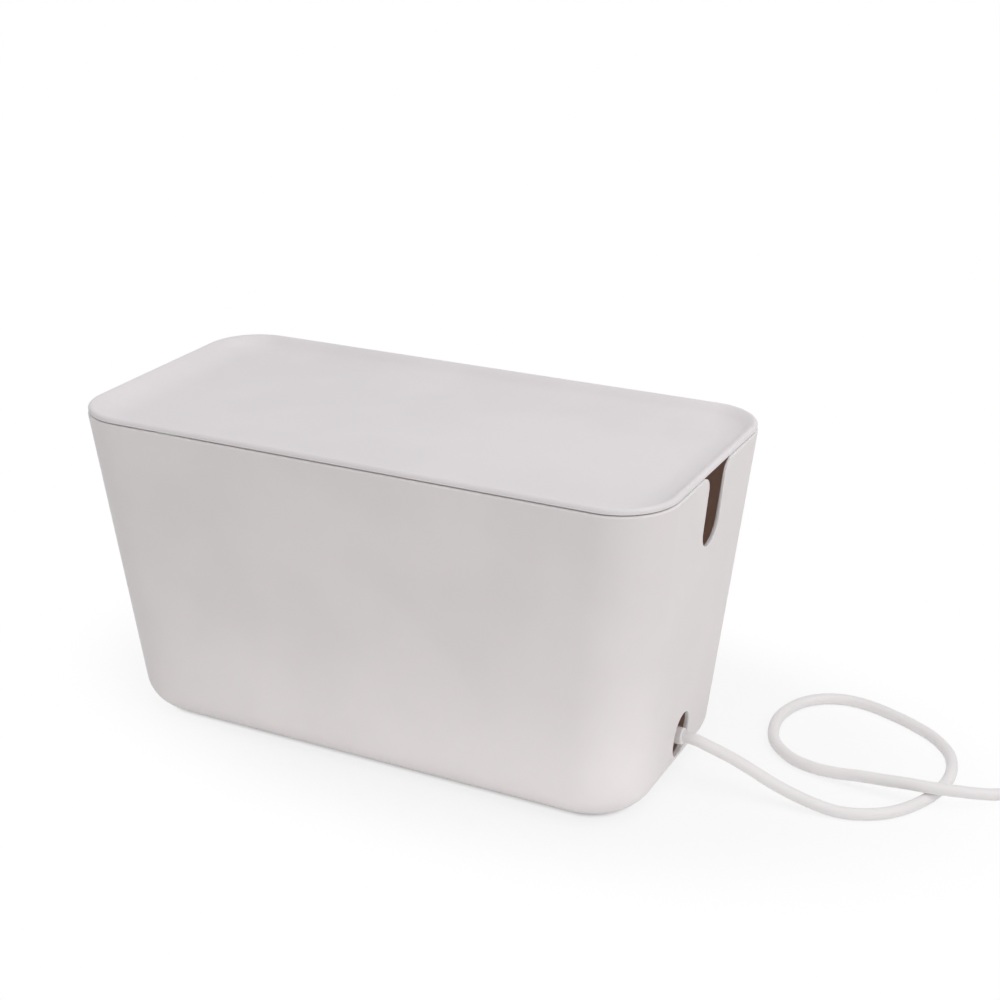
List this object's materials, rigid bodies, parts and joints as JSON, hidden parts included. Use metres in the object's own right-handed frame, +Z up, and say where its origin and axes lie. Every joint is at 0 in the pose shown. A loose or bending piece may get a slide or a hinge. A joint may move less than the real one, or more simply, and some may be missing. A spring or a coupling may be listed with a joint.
{
  "type": "cable management box",
  "caption": "White cable box with leaning walls and a lift-off tray lid, cable slots and ports in its ends, holding a power strip whose cord runs out.",
  "frame": {"origin": "bottom centre of the box, on the surface that its feet stand on", "axes": "+X along the box towards the end that the mains cord leaves by, +Y to the back, +Z up"},
  "size_m": [0.7698, 0.2708, 0.238],
  "materials": {
    "tub_plastic": "moulded, fine matt grain",
    "lid_plastic": "moulded, satin",
    "foot_rubber": "matt",
    "strip_plastic": "moulded, light grain",
    "strip_foot_rubber": "matt",
    "screw_steel": "zinc plated",
    "busbar_brass": "rolled strip",
    "terminal_brass": "tinned",
    "switch_black": "satin",
    "rocker_red": "clear and glossy",
    "button_white": "satin",
    "core_black": "extruded",
    "core_white": "extruded",
    "core_green": "extruded",
    "boot_pvc": "soft moulded PVC",
    "cord_pvc": "extruded soft PVC, satin",
    "strap_fabric": "hook and loop tape",
    "plug_pvc": "soft moulded PVC",
    "blade_brass": "nickel plated"
  },
  "bodies": {
    "box": {"tub": "tub_plastic", "foot_front_left": "foot_rubber", "foot_front_right": "foot_rubber", "foot_rear_left": "foot_rubber", "foot_rear_right": "foot_rubber", "strip_base": "strip_plastic", "strip_cover": "strip_plastic", "strip_feet": "strip_foot_rubber", "housing_screws": "screw_steel", "live_busbar": "busbar_brass", "neutral_busbar": "busbar_brass", "earth_busbar": "busbar_brass", "switch_body": "switch_black", "switch_terminals": "terminal_brass", "breaker_body": "switch_black", "breaker_nut": "screw_steel", "breaker_terminals": "terminal_brass", "live_lead": "core_black", "breaker_lead": "core_black", "switch_lead": "core_black", "neutral_lead": "core_white", "earth_lead": "core_green", "cord_boot": "boot_pvc", "cord_run": "cord_pvc", "cord_coil": "cord_pvc", "cord_tie": "strap_fabric", "plug_body": "plug_pvc", "live_blade": "blade_brass", "neutral_blade": "blade_brass", "earth_pin": "blade_brass"},
    "lid": {"lid": "lid_plastic"},
    "rocker": {"rocker": "rocker_red"},
    "reset_button": {"reset_button": "button_white"}
  },
  "joints": [
    {"name": "lid_lift", "type": "slide", "parent": "box", "child": "lid", "axis": [0, 0, 1], "range_m": [0, 0.15]},
    {"name": "rocker_switch", "type": "hinge", "parent": "box", "child": "rocker", "pos_m": [0.13938, 0.004, 0.0496], "axis": [0, -1, 0], "range_deg": [0, 16]},
    {"name": "breaker_trip", "type": "slide", "parent": "box", "child": "reset_button", "axis": [0, 0, 1], "range_m": [0, 0.0025]}
  ]
}
